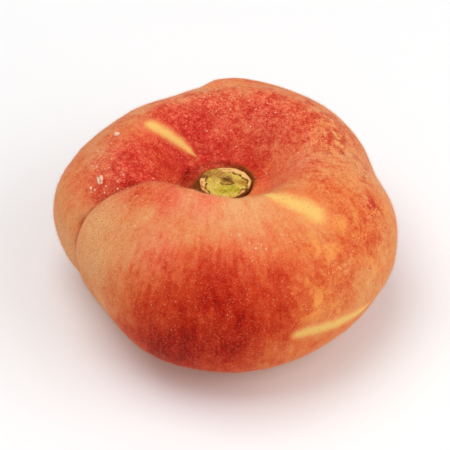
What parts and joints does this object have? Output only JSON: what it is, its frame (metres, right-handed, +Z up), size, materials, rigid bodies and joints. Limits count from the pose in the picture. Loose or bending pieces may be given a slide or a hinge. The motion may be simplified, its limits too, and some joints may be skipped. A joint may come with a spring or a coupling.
{
  "type": "flat peach",
  "caption": "Whole flat peach with a wide stem cavity, a deep fold over one side and the stub of its stalk, resting on its blossom end.",
  "frame": {"origin": "on the surface the fruit rests on, under the middle of its box", "axes": "+Z up along the stem's axis, +X to the fruit's right with the fold at -X, -Y towards the full front lobe"},
  "size_m": [0.073, 0.0704, 0.0402],
  "materials": {
    "skin": "downy peach skin, crimson blush over peach orange, with yellow pressure streaks",
    "stalk": "torn end of a green stalk, yellow-green with brown fibres"
  },
  "bodies": {
    "root": {"fruit": "skin", "stem_stub": "stalk"}
  },
  "joints": []
}
